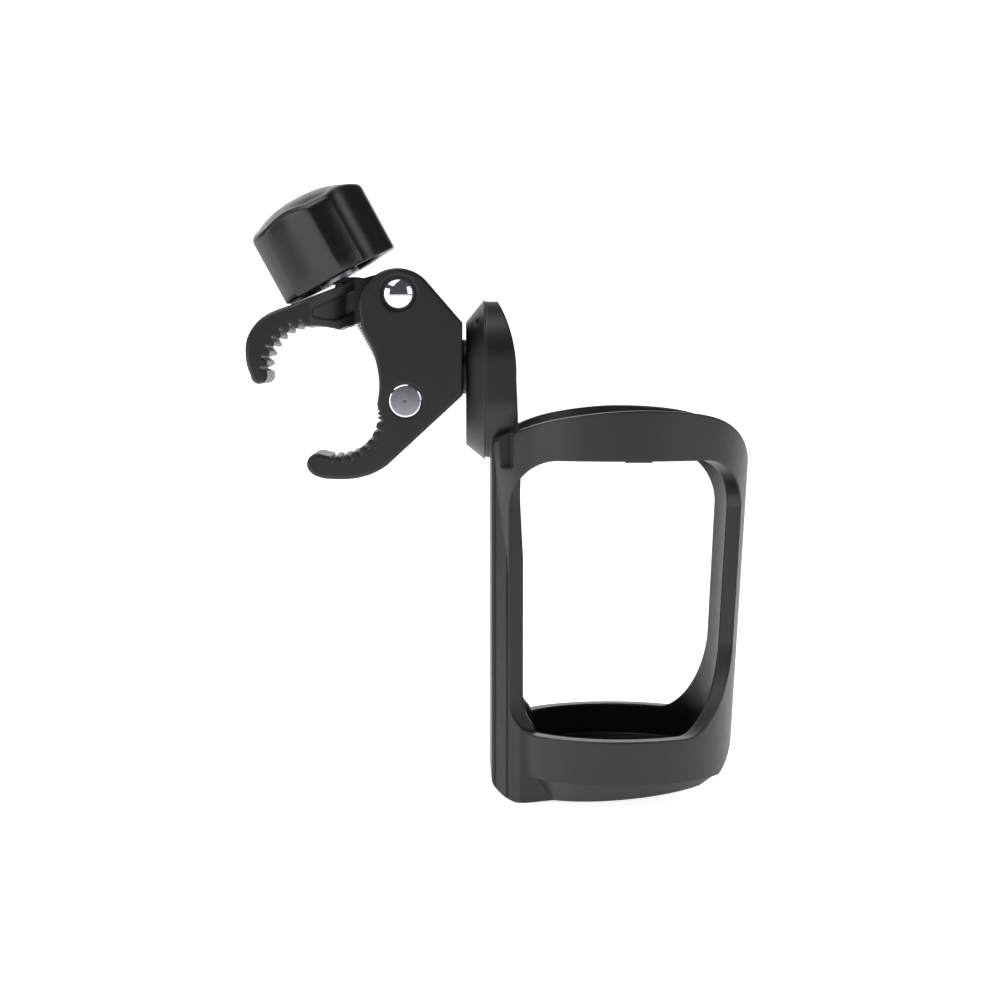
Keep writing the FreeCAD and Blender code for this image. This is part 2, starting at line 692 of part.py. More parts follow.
def window_front(side):
    """Room up to a window's front edge, whose faces lie along planes through the cage's axis."""
    axis = dim("CageAxis")
    slices = []
    for reach in (8.0, 60.0):
        corners = []
        for height, wide, tall in ((dim("BandTop"), 15.0, 28.0), (dim("WindowTop"), 14.0, -16.0)):
            points = []
            for inset, z in quarter((0.0, height + tall), wide, -tall):
                radius = cage_radius(z)
                side_x = radius * math.cos(math.radians(23.0)) - inset
                side_y = math.sqrt(radius * radius - side_x * side_x)
                points.append((axis + reach * side_x / side_y, z))
            corners.append(points)
        slices.append(window_slice(corners[0], corners[1], 30.0, reach, side))
    return Part.makeLoft(slices, True, True)


def window_tool(side):
    """Solid that cuts one side window, from inside the cup space out past the wall."""
    return window_back(side).common(window_front(side))


def spine_prism():
    """Upright back rail of the cage with its two grooves on each side."""
    face, half = dim("SpineFace"), dim("SpineHalf")
    side = [(face, 0), (face, 15.6), (face + 0.9, 16.5), (face + 1.1, 16.2), (face + 1.5, 16.8),
        (face + 4.7, half)]
    side += [(face + 5.0, half - 0.4), (face + 5.4, half + 0.5), (face + 9.0, half + 3.2),
        (face + 20.0, half + 3.2)]
    points = side + [(x, -y) for x, y in side[::-1][:-1]]
    wire = Part.makePolygon([V(x, y, -140.0) for x, y in points + points[:1]])
    return Part.Face(wire).extrude(V(0, 0, 130.0))


def upright():
    """Plate above the spine that carries the swivel."""
    half = dim("PlateHalf")
    edges = [curve.toShape() for curve in stadium(half, 17.5, 4.2)]
    wire = Part.Wire(Part.__sortEdges__(edges))
    turn = FreeCAD.Rotation(V(1, 1, 1), 120)
    wire.Placement = FreeCAD.Placement(V(dim("PlateFace"), 0, 0), turn)
    plate = Part.Face(wire).extrude(V(14, 0, 0))
    side = [line((48.0, 36.5), (53.2, 36.5))]
    side.append(Part.Arc(V(53.2, 36.5, 0), V(57.0, 26.8, 0), V(58.9, 11.0, 0)))
    side += chain([(58.9, 11.0), (59.8, -10.0), (59.8, -16.4), (48.0, -14.4), (48.0, 36.5)])
    return plate.common(side_prism(side, 30.0))


def make_cup_cage():
    """One-piece moulded cage: ring, two side windows, basin, spine and swivel plate."""
    axis = dim("CageAxis")
    tube = cone(dim("BandFoot"), 4.0, 0.0)
    dish = Part.makeCone(31.5, 36.6, 9.0, V(axis, 0, -127.2))
    outer = tube.fuse([dish, spine_prism().common(Part.makeCylinder(50.0, 150.0, V(axis, 0, -140.0)))])
    front_of_spine = Part.makeBox(120.0, 120.0, 160.0, V(dim("SpineFace"), -60, -140))
    outer = outer.common(front_of_spine).common(envelope())
    floor = dim("FloorTop")
    inner = cone(floor, 6.0, dim("CageWall"))
    pit = Part.makeCone(22.0, 33.0, 3.75, V(axis, 0, floor - 3.7))
    shell = outer.cut(inner).cut(pit)
    for side in (-1, 1):
        shell = shell.cut(window_tool(side))
    for side in (-1, 1):
        low_y = 20.0 if side > 0 else -60.0
        shell = shell.cut(Part.makeBox(17.6, 40.0, 40.0, V(40.0, low_y, -17.3)))
        tab = Part.makeBox(8.6, 2.0, 1.8, V(axis - 0.5, side * 41.6 - 1.0, dim("WindowTop") - 0.4))
        shell = shell.fuse(tab)
    shell = shell.fuse(upright()).removeSplitter()
    swivel = dim("SwivelHeight")
    well = Part.makeCylinder(7.0, 3.6, V(48.0, 0, swivel), V(1, 0, 0))
    holes = [well]
    for y, z in cover_screw_spots():
        holes.append(Part.makeCylinder(1.5, 20.0, V(45.0, y, z), V(1, 0, 0)))
        holes.append(Part.makeCylinder(2.7, 20.0, V(53.4, y, z), V(1, 0, 0)))
    shell = shell.cut(holes)
    cage = document.addObject("Part::Feature", "cup_cage")
    cage.Label = "cup_cage"
    cage.Shape = shell
    return cage


# ---------------------------------------------------------------- all of it
def main():
    """Build every sub-part, test it and write its STEP file."""
    fill_sheet()
    makers = [
        make_clamp_body, make_moving_jaw, make_pivot_rivet, make_rivet_washer, make_barrel_nut,
        make_clamp_screw,
        make_thrust_washer, make_knob, make_swivel_cover, make_friction_washer, make_swivel_disc,
        make_swivel_screw,
        make_cover_screws, make_cup_cage,
    ]
    pieces = [maker() for maker in makers]
    document.recompute()
    for item in document.Objects:
        bad = [word for word in item.State if word in ("Invalid", "Error")]
        if bad:
            raise RuntimeError("%s is %s" % (item.Name, bad))
    for piece in pieces:
        if piece.Shape.isNull() or not piece.Shape.isValid():
            raise RuntimeError("%s has no sound shape" % piece.Label)
    os.makedirs("parts", exist_ok=True)
    for piece in pieces:
        piece.Shape.exportStep("parts/%s.step" % piece.Label)
        box = piece.Shape.BoundBox
        spans = (box.XMin, box.XMax, box.YMin, box.YMax, box.ZMin, box.ZMax)
        text = " ".join("%.1f" % value for value in spans)
        print("%-16s %d solid %9.1f mm3  %s" % (piece.Label, len(piece.Shape.Solids),
            piece.Shape.Volume, text))


main()
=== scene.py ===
"""Tube-clamp cup holder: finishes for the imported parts, turned and moulded pieces, studio and camera."""
import json
import math

import bpy
import numpy as np
from mathutils import Matrix, Vector


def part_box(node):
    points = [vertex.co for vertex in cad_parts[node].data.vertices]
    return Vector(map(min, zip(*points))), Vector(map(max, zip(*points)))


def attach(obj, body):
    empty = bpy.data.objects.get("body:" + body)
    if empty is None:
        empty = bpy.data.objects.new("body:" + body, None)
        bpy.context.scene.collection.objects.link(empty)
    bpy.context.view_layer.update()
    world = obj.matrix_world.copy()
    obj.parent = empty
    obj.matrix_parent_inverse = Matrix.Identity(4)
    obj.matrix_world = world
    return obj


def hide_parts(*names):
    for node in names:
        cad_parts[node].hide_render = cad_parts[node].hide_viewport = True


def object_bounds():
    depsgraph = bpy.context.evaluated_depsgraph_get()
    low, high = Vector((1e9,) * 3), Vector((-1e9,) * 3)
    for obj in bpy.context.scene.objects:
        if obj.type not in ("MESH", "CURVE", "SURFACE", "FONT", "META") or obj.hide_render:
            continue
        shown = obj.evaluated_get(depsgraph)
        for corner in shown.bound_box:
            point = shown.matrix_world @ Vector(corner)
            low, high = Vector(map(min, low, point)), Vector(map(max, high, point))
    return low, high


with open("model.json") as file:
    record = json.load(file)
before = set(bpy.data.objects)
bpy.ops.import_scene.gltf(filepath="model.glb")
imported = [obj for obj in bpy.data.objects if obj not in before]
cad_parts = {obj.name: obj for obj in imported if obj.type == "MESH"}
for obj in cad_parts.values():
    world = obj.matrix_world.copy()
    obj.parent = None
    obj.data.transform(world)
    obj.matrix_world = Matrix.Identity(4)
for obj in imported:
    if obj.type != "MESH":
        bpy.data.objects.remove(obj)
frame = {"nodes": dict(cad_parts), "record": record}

CAD_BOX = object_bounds()

bl_info = {
    "name": "Tube-clamp cup holder",
    "version": (1, 0, 0),
    "blender": (4, 5, 0),
    "location": "View3D > Sidebar > Cup holder",
    "description": "Finishes, turned pieces and studio for a clamp-on cup holder",
    "category": "Object",
}

MM = 0.001
TAU = 2.0 * math.pi

PAPER_GLOW = 0.95
WORLD_COLOUR = (0.93, 0.96, 1.0, 1.0)
WORLD_STRENGTH = 0.1
LIGHT_AIM = (0.06, 0.0, -0.04)
SOFT_BOXES = (
    # name, place in metres, side in metres, power in watts
    ("top_box", (-0.35, -0.25, 0.95), 0.9, 7.0),
    ("right_box", (0.95, -0.55, 0.35), 0.6, 2.0),
    ("left_box", (-0.95, -0.6, 0.2), 0.6, 2.5),
)
CAMERA_PLACE = (0.0374, -0.670, 0.01663)
CAMERA_YAW_DEGREES = 1.425
CAMERA_DIP_DEGREES = 3.926
CAMERA_LENS_MM = 72.36


# ---------------------------------------------------------------- places taken from the frame
def centre_of(node):
    """Middle of a CAD node's box."""
    low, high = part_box(node)
    return (np.array(low) + np.array(high)) / 2.0


def joint(name):
    """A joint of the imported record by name."""
    return next(j for j in frame["record"]["behaviour"]["joints"] if j["name"] == name)


def screw_axes():
    """Origin, side, across and up directions of the clamp screw's own frame, as a 4-row array."""
    down = np.array(joint("screw_slide")["axis"], dtype=float)
    up = -down / np.linalg.norm(down)
    across = np.array([0.0, 1.0, 0.0])
    side = np.cross(across, up)
    return np.array([joint("knob_turn")["pos_m"], side, across, up])


# ---------------------------------------------------------------- settings a user may change
class CupHolderSizes(bpy.types.PropertyGroup):
    """Sizes of the pieces that are worked out here."""

    thread_pitch: bpy.props.FloatProperty(
        name="Thread pitch", description="Rise of the clamp screw per turn", default=1.0 * MM,
        unit="LENGTH")
    thread_depth: bpy.props.FloatProperty(
        name="Thread depth", description="Crest to root, radially", default=0.6 * MM, unit="LENGTH")
    screw_radius: bpy.props.FloatProperty(
        name="Screw radius", description="Radius at the thread's crest", default=3.0 * MM, unit="LENGTH")
    knob_radius: bpy.props.FloatProperty(
        name="Knob radius", description="Radius over the lands", default=20.9 * MM, unit="LENGTH")
    flute_radius: bpy.props.FloatProperty(
        name="Flute radius", description="Radius at the middle of a flute", default=18.3 * MM,
        unit="LENGTH")
    knob_lands: bpy.props.IntProperty(
        name="Lands", description="Raised lands round the knob", default=5, min=3)
    edge_round: bpy.props.FloatProperty(
        name="Edge rounding", description="Rounding that moulding leaves on outer edges", default=1.1 * MM,
        unit="LENGTH")


class CupHolderColours(bpy.types.PropertyGroup):
    """Colours of the materials, as sRGB hex."""

    body: bpy.props.StringProperty(
        name="Body", description="Black moulded ABS", default="#08090A")
    knob: bpy.props.StringProperty(
        name="Knob", description="Black glossy ABS of the knob", default="#070708")
    zinc: bpy.props.StringProperty(
        name="Zinc", description="Zinc-plated steel", default="#B9BCC0")
    polished: bpy.props.StringProperty(
        name="Polished steel", description="Rivet and its rim", default="#D4D6DA")
    turned: bpy.props.StringProperty(
        name="Turned steel", description="Faced end of the barrel nut", default="#8E9196")
    oxide: bpy.props.StringProperty(
        name="Black oxide", description="Blackened steel screws", default="#232326")
    nylon: bpy.props.StringProperty(
        name="Nylon", description="Natural nylon washer", default="#E4E1D6")
    floor: bpy.props.StringProperty(
        name="Floor", description="Pale studio floor", default="#F7F7F7")


# ---------------------------------------------------------------- mesh makers
def closed_skin(name, rings, low_pole, high_pole, smooth_angle=35.0):
    """Closed surface: ring i, column j of the (rows, columns, 3) array is a vertex; fans close the ends.

    Quad (i, j) joins ring i to ring i + 1 between columns j and j + 1, the columns wrap round, and each
    pole joins the ring next to it in triangles.
    """
    rows, columns = rings.shape[:2]
    points = np.vstack([rings.reshape(-1, 3), [low_pole], [high_pole]])
    i, j = np.meshgrid(np.arange(rows - 1), np.arange(columns), indexing="ij")
    k = (j + 1) % columns
    quads = np.stack([i * columns + j, i * columns + k, (i + 1) * columns + k,
                      (i + 1) * columns + j], axis=-1)
    j = np.arange(columns)
    k = (j + 1) % columns
    foot = np.stack([k, j, np.full(columns, rows * columns)], axis=-1)
    last = (rows - 1) * columns
    head = np.stack([last + j, last + k, np.full(columns, rows * columns + 1)], axis=-1)
    faces = quads.reshape(-1, 4).tolist() + foot.tolist() + head.tolist()
    return new_piece(name, points, faces, smooth_angle)


def new_piece(name, points, faces, smooth_angle=35.0):
    """Object at the origin with these vertices and faces, smooth except over edges past the angle."""
    mesh = bpy.data.meshes.new(name)
    mesh.from_pydata(np.asarray(points).tolist(), [], faces)
    mesh.validate()
    mesh.update()
    mesh.shade_smooth()
    mesh.set_sharp_from_angle(angle=math.radians(smooth_angle))
    piece = bpy.data.objects.new(name, mesh)
    bpy.context.scene.collection.objects.link(piece)
    return piece


def joined(name, pieces):
    """One object made of several at the origin: their vertices and faces, numbered one after another."""
    points, faces, start = [], [], 0
    for piece in pieces:
        mesh = piece.data
        spots = np.empty(len(mesh.vertices) * 3)
        mesh.vertices.foreach_get("co", spots)
        points.append(spots.reshape(-1, 3))
        faces += [[start + v for v in polygon.vertices] for polygon in mesh.polygons]
        start += len(mesh.vertices)
        bpy.data.objects.remove(piece)
    return new_piece(name, np.vstack(points), faces)


def in_axes(axes, side, across, up):
    """Points of a local frame in the row frame: origin + side * x + across * y + up * z."""
    return axes[0] + side[..., None] * axes[1] + across[..., None] * axes[2] + up[..., None] * axes[3]


def turned_rings(axes, radius, height, columns=96):
    """Surface of revolution: at angle t, (radius cos t, radius sin t, height) for each profile point."""
    radius, height = np.asarray(radius, float), np.asarray(height, float)
    angle = np.arange(columns) * TAU / columns
    return in_axes(axes, radius[:, None] * np.cos(angle), radius[:, None] * np.sin(angle),
                   np.repeat(height[:, None], columns, axis=1))


def turned_piece(name, axes, radius, height, columns=96):
    """Closed turned solid whose profile runs up from the axis to the axis."""
    rings = turned_rings(axes, radius, height, columns)
    ends = [axes[0] + axes[3] * height[0], axes[0] + axes[3] * height[-1]]
    return closed_skin(name, rings, ends[0], ends[1])


def rounded(profile, radius, steps=5):
    """Profile with each inner corner replaced by a quadratic curve that meets its sides at radius."""
    profile = [np.array(p, float) for p in profile]
    out = [profile[0]]
    for before, corner, after in zip(profile, profile[1:], profile[2:]):
        back, ahead = before - corner, after - corner
        cut = min(radius, 0.45 * np.linalg.norm(back), 0.45 * np.linalg.norm(ahead))
        start = corner + back / np.linalg.norm(back) * cut
        end = corner + ahead / np.linalg.norm(ahead) * cut
        t = np.linspace(0.0, 1.0, steps)[:, None]
        out += list((1 - t) ** 2 * start + 2 * t * (1 - t) * corner + t ** 2 * end)
    out.append(profile[-1])
    return np.array(out)


def stand_for(piece, node, body, material):
    """The piece takes a CAD node's place, rides on its body and carries one material."""
    piece.data.materials.append(material)
    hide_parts(node)
    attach(piece, body)


# ---------------------------------------------------------------- material makers
def linear(hex_colour):
    """sRGB hex to linear RGBA: c / 12.92 below 0.04045, else ((c + 0.055) / 1.055) ** 2.4."""
    channels = [int(hex_colour.lstrip("#")[k:k + 2], 16) / 255.0 for k in (0, 2, 4)]
    return tuple(c / 12.92 if c <= 0.04045 else ((c + 0.055) / 1.055) ** 2.4 for c in channels) + (1.0,)


def add(tree, kind, settings=None, links=None):
    """Adds a node, sets its inputs by name or number or its properties, and links input: socket."""
    node = tree.nodes.new(kind)
    for key, value in (settings or {}).items():
        if isinstance(key, int) or key in node.inputs:
            node.inputs[key].default_value = value
        else:
            setattr(node, key, value)
    for key, socket in (links or {}).items():
        tree.links.new(socket, node.inputs[key])
    return node


def base_material(name):
    """Empty node material and its tree, with Object coordinates."""
    material = bpy.data.materials.new(name)
    material.use_nodes = True
    tree = material.node_tree
    tree.nodes.clear()
    place = add(tree, "ShaderNodeTexCoord").outputs["Object"]
    return material, tree, place


def finish_shader(tree, settings, links):
    """Principled shader with its constants on its own sockets, wired to the output."""
    shader = add(tree, "ShaderNodeBsdfPrincipled", settings, links)
    add(tree, "ShaderNodeOutputMaterial", None, {"Surface": shader.outputs["BSDF"]})
    return shader


def varied(tree, place, scale, low, high, detail=4.0):
    """Noise at a scale, spread between two values."""
    noise = add(tree, "ShaderNodeTexNoise", {"Scale": scale, "Detail": detail, "Roughness": 0.6},
                {"Vector": place})
    spread = add(tree, "ShaderNodeMapRange", {"From Min": 0.3, "From Max": 0.7, "To Min": low,
                                              "To Max": high},
                 {"Value": noise.outputs["Fac"]})
    return spread.outputs["Result"]


def moulded_abs(name, hex_colour, rough, grain, edge):
    """Moulded black ABS: IOR 1.53, an even satin gloss, a spark-eroded grain about 0.5 mm across and soft
    edges where the mould's corners are rounded."""
    material, tree, place = base_material(name)
    edges = add(tree, "ShaderNodeBevel", {"samples": 6, "Radius": edge})
    pits = add(tree, "ShaderNodeTexNoise", {"Scale": 1.0 / (0.5 * MM), "Detail": 3.0, "Roughness": 0.55},
               {"Vector": place})
    flow = add(tree, "ShaderNodeTexNoise", {"Scale": 1.0 / (22.0 * MM), "Detail": 1.0},
               {"Vector": place})
    wave = add(tree, "ShaderNodeBump", {"Strength": 0.05, "Distance": 2.0 * MM},
               {"Height": flow.outputs["Fac"], "Normal": edges.outputs["Normal"]})
    bump = add(tree, "ShaderNodeBump", {"Strength": grain, "Distance": 0.05 * MM},
               {"Height": pits.outputs["Fac"], "Normal": wave.outputs["Normal"]})
    dark = linear(hex_colour)
    light = tuple(min(1.0, 1.35 * c) for c in dark[:3]) + (1.0,)
    tone = add(tree, "ShaderNodeMix", {"data_type": "RGBA", 6: dark, 7: light},
               {0: varied(tree, place, 1.0 / (8.0 * MM), 0.0, 1.0)})
    finish_shader(tree, {"IOR": 1.53, "Metallic": 0.0},
                  {"Base Color": tone.outputs[2], "Normal": bump.outputs["Normal"],
                   "Roughness": varied(tree, place, 1.0 / (3.0 * MM), rough - 0.03, rough + 0.04)})
    return material


def plated_steel(name, hex_colour, rough):
    """Zinc-plated steel: a fine crystalline plate that clouds the gloss in patches about 1.5 mm across."""
    material, tree, place = base_material(name)
    cloud = add(tree, "ShaderNodeTexVoronoi", {"Scale": 1.0 / (1.5 * MM)}, {"Vector": place})
    tone = add(tree, "ShaderNodeMapRange", {"To Min": rough - 0.05, "To Max": rough + 0.08},
               {"Value": cloud.outputs["Distance"]})
    bump = add(tree, "ShaderNodeBump", {"Strength": 0.08, "Distance": 0.05 * MM},
               {"Height": cloud.outputs["Distance"]})
    finish_shader(tree, {"Metallic": 1.0, "Base Color": linear(hex_colour)},
                  {"Roughness": tone.outputs["Result"], "Normal": bump.outputs["Normal"]})
    return material


def polished_steel(name, hex_colour):
    """Polished, bright-plated steel: nearly a mirror, with faint wipe marks a few millimetres long."""
    material, tree, place = base_material(name)
    finish_shader(tree, {"Metallic": 1.0, "Base Color": linear(hex_colour)},
                  {"Roughness": varied(tree, place, 1.0 / (2.5 * MM), 0.05, 0.13)})
    return material


def turned_steel(name, hex_colour, centre):
    """Steel faced on a lathe: rings 0.25 mm apart round the pin's axis, coarser than a real tool mark."""
    material, tree, place = base_material(name)
    centred = add(tree, "ShaderNodeMapping", {"Location": tuple(-c for c in centre)}, {"Vector": place})
    parts = add(tree, "ShaderNodeSeparateXYZ", None, {"Vector": centred.outputs["Vector"]})
    flat = add(tree, "ShaderNodeCombineXYZ", None, {"X": parts.outputs["X"], "Y": parts.outputs["Z"]})
    away = add(tree, "ShaderNodeVectorMath", {"operation": "LENGTH"}, {0: flat.outputs["Vector"]})
    turns = add(tree, "ShaderNodeMath", {"operation": "MULTIPLY", 1: TAU / (0.25 * MM)},
                {0: away.outputs["Value"]})
    ridge = add(tree, "ShaderNodeMath", {"operation": "SINE"}, {0: turns.outputs["Value"]})
    bump = add(tree, "ShaderNodeBump", {"Strength": 0.12, "Distance": 0.03 * MM},
               {"Height": ridge.outputs["Value"]})
    finish_shader(tree, {"Metallic": 1.0, "Base Color": linear(hex_colour)},
                  {"Roughness": varied(tree, place, 1.0 / (1.2 * MM), 0.32, 0.46),
                   "Normal": bump.outputs["Normal"]})
    return material


def nylon(name, hex_colour):
    """Natural nylon: milky and slightly waxy, with a little light passing under its surface."""
    material, tree, place = base_material(name)
    finish_shader(tree, {"Base Color": linear(hex_colour), "IOR": 1.53, "Subsurface Weight": 0.15,
                         "Subsurface Radius": (0.6 * MM, 0.5 * MM, 0.4 * MM)},
                  {"Roughness": varied(tree, place, 1.0 / (2.0 * MM), 0.4, 0.52)})
    return material


def paint_node(node, material):
    """Puts one material in all of a CAD node's slots."""
    data = frame["nodes"][node].data
    if not data.materials:
        data.materials.append(material)
    for index in range(len(data.materials)):
        data.materials[index] = material


# ---------------------------------------------------------------- operators
class OBJECT_OT_cup_holder_plastics(bpy.types.Operator):
    """Moulded ABS on the clamp, the jaw, the swivel's cover and the cage."""

    bl_idname = "object.cup_holder_plastics"
    bl_label = "Moulded body parts"

    def execute(self, context):
        scene = context.scene
        edge = scene.cup_holder_sizes.edge_round
        body = moulded_abs("moulded_ABS_black", scene.cup_holder_colours.body, 0.4, 0.35, edge)
        for node in ("clamp_body", "moving_jaw", "swivel_cover", "cup_cage"):
            paint_node(node, body)
        return {"FINISHED"}


class OBJECT_OT_cup_holder_hardware(bpy.types.Operator):
    """Metal and nylon finishes on the small parts that keep their CAD shape."""

    bl_idname = "object.cup_holder_hardware"
    bl_label = "Washers, disc and screws"

    def execute(self, context):
        colours = context.scene.cup_holder_colours
        zinc = plated_steel("zinc_plated_steel", colours.zinc, 0.3)
        for node in ("thrust_washer", "rivet_washer", "swivel_disc", "swivel_screw"):
            paint_node(node, zinc)
        paint_node("cover_screws", plated_steel("black_oxide_steel", colours.oxide, 0.38))
        paint_node("friction_washer", nylon("natural_nylon", colours.nylon))
        return {"FINISHED"}


class OBJECT_OT_cup_holder_screw(bpy.types.Operator):
    """Clamp screw with its rolled thread and hexagon head."""

    bl_idname = "object.cup_holder_screw"
    bl_label = "Clamp screw"

    def execute(self, context):
        sizes = context.scene.cup_holder_sizes
        axes = screw_axes()
        low, high = -4.5 * MM, 62.2 * MM
        head_top = 66.0 * MM
        crest, depth, pitch = sizes.screw_radius, sizes.thread_depth, sizes.thread_pitch
        columns = 48
        height = np.arange(low, high, pitch / 8.0)
        angle = np.arange(columns) * TAU / columns
        # radius = crest - depth * (a triangle wave of height / pitch - angle / turn), thinner at the tip
        phase = (height[:, None] / pitch - angle[None, :] / TAU) % 1.0
        groove = np.abs(2.0 * phase - 1.0)
        tip = np.clip((height - low) / (0.8 * MM), 0.0, 1.0)[:, None]
        radius = (crest - depth * np.clip(1.3 * groove - 0.15, 0.0, 1.0)) * (0.75 + 0.25 * tip)
        level = np.repeat(height[:, None], columns, 1)
        shank = in_axes(axes, radius * np.cos(angle), radius * np.sin(angle), level)
        # a hexagon's radius at an angle is its apothem / cos(angle from the nearest flat's middle)
        flat = 5.0 * MM
        hexagon = flat / np.cos((angle + TAU / 12.0) % (TAU / 6.0) - TAU / 12.0)
        rows = [(62.0 * MM, 0.97), (62.15 * MM, 1.0), (65.2 * MM, 1.0), (head_top, 0.93)]
        head = np.array([in_axes(axes, k * hexagon * np.cos(angle), k * hexagon * np.sin(angle),
                                 np.full(columns, s))
                         for s, k in rows])
        rings = np.concatenate([shank, head])
        piece = closed_skin("clamp_screw_threaded", rings, axes[0] + axes[3] * low,
                            axes[0] + axes[3] * head_top, 50.0)
        stand_for(piece, "clamp_screw", "knob", bpy.data.materials["zinc_plated_steel"])
        return {"FINISHED"}


class OBJECT_OT_cup_holder_knob(bpy.types.Operator):
    """Fluted knob: wide flutes between narrow lands under a low dome, hollow with a hub and ribs."""

    bl_idname = "object.cup_holder_knob"
    bl_label = "Hand knob"

    def execute(self, context):
        sizes = context.scene.cup_holder_sizes
        axes = screw_axes()
        wide, deep, lands = sizes.knob_radius, sizes.flute_radius, sizes.knob_lands
        foot, top = 46.0 * MM, 75.4 * MM
        columns = 480
        angle = np.arange(columns) * TAU / columns
        outline = self.outline(angle, wide, deep, lands)
        bend = 2.6 * MM

        def dome(radius):
            """Crown height: top - drop * (radius / wide) ** 2.6."""
            return top - 6.6 * MM * (radius / wide) ** 2.6

        rows = []

        def ring(radius, height):
            rows.append(in_axes(axes, radius * np.cos(angle), radius * np.sin(angle),
                                height + 0.0 * angle))

        hollow, inside = 15.7 * MM, foot + 17.5 * MM
        for radius, height in ((3.2 * MM, inside), (hollow - 1.2 * MM, inside), (hollow,
                                                                                 inside - 1.2 * MM),
                               (hollow, foot + 0.5 * MM), (hollow + 0.4 * MM, foot + 0.05 * MM)):
            ring(radius + 0.0 * angle, height)
        ring(outline - 0.7 * MM, foot)
        ring(outline - 0.2 * MM, foot + 0.2 * MM)
        ring(outline, foot + 0.7 * MM)
        shoulder = dome(outline - bend) - bend
        for share in np.linspace(0.0, 1.0, 6)[1:]:
            ring(outline, foot + 0.7 * MM + (shoulder - foot - 0.7 * MM) * share)
        # the shoulder is a quarter circle of radius bend from the side to the crown
        for turn in np.linspace(0.0, TAU / 4.0, 7)[1:]:
            radius = outline - bend + bend * math.cos(turn)
            lift = (dome(outline - bend) - shoulder) * math.sin(turn)
            ring(radius, shoulder + lift)
        for share in np.linspace(1.0, 0.0, 14)[1:-1]:
            radius = (outline - bend) * share
            ring(radius, dome(radius))
        shell = closed_skin("knob_shell", np.array(rows), axes[0] + axes[3] * inside,
                            axes[0] + axes[3] * top)
        hub_profile = rounded([(3.05 * MM, inside - 0.1 * MM), (3.05 * MM, foot + 0.45 * MM),
                               (7.0 * MM, foot + 0.45 * MM),
                               (7.0 * MM, inside - 0.1 * MM)], 0.5 * MM)
        parts = [shell, self.tube(axes, hub_profile)]
        for index in range(6):
            parts.append(self.rib(axes, TAU * index / 6.0 + TAU / 12.0, foot, inside))
        knob = joined("knob_moulded", parts)
        colours = context.scene.cup_holder_colours
        gloss = moulded_abs("moulded_ABS_knob", colours.knob, 0.3, 0.12, 0.5 * MM)
        stand_for(knob, "knob", "knob", gloss)
        return {"FINISHED"}

    @staticmethod
    def outline(angle, wide, deep, lands):
        """Radius round the knob: wide on each land, and wide - (wide - deep) * sin(pi * u) ** 1.1 across
        each flute, where u runs 0 to 1 over the flute."""
        step = TAU / lands
        land = math.radians(22.0)
        start = math.radians(287.5) - land / 2.0
        u = ((angle - start) % step - land) / (step - land)
        return np.where(u > 0.0, wide - (wide - deep) * np.sin(math.pi * np.clip(u, 0.0,
                                                                                 1.0)) ** 1.1, wide)

    @staticmethod
    def tube(axes, profile, columns=64):
        """Closed ring: the (radius, height) profile turned about the axis and joined to its own start."""
        rings = turned_rings(axes, profile[:, 0], profile[:, 1], columns)
        rows = len(rings)
        i, j = np.meshgrid(np.arange(rows), np.arange(columns), indexing="ij")
        n, k = (i + 1) % rows, (j + 1) % columns
        faces = np.stack([i * columns + j, i * columns + k, n * columns + k, n * columns + j], axis=-1)
        return new_piece("knob_hub", rings.reshape(-1, 3), faces.reshape(-1, 4).tolist())

    @staticmethod
    def rib(axes, turn, foot, inside):
        """Straight rib from hub to shell: a box in polar directions, 1.5 mm thick."""
        near, far, half = 6.8 * MM, 15.9 * MM, 0.75 * MM
        low, high = foot + 2.6 * MM, inside + 0.1 * MM
        out = math.cos(turn) * axes[1] + math.sin(turn) * axes[2]
        along = -math.sin(turn) * axes[1] + math.cos(turn) * axes[2]
        spots = [axes[0] + out * r + along * w + axes[3] * h for h in (low, high) for r, w in
                 ((near, -half), (far, -half), (far, half), (near, half))]
        faces = [[3, 2, 1, 0], [4, 5, 6, 7], [0, 1, 5, 4], [1, 2, 6, 5], [2, 3, 7, 6], [3, 0, 4, 7]]
        return new_piece("knob_rib", spots, faces)


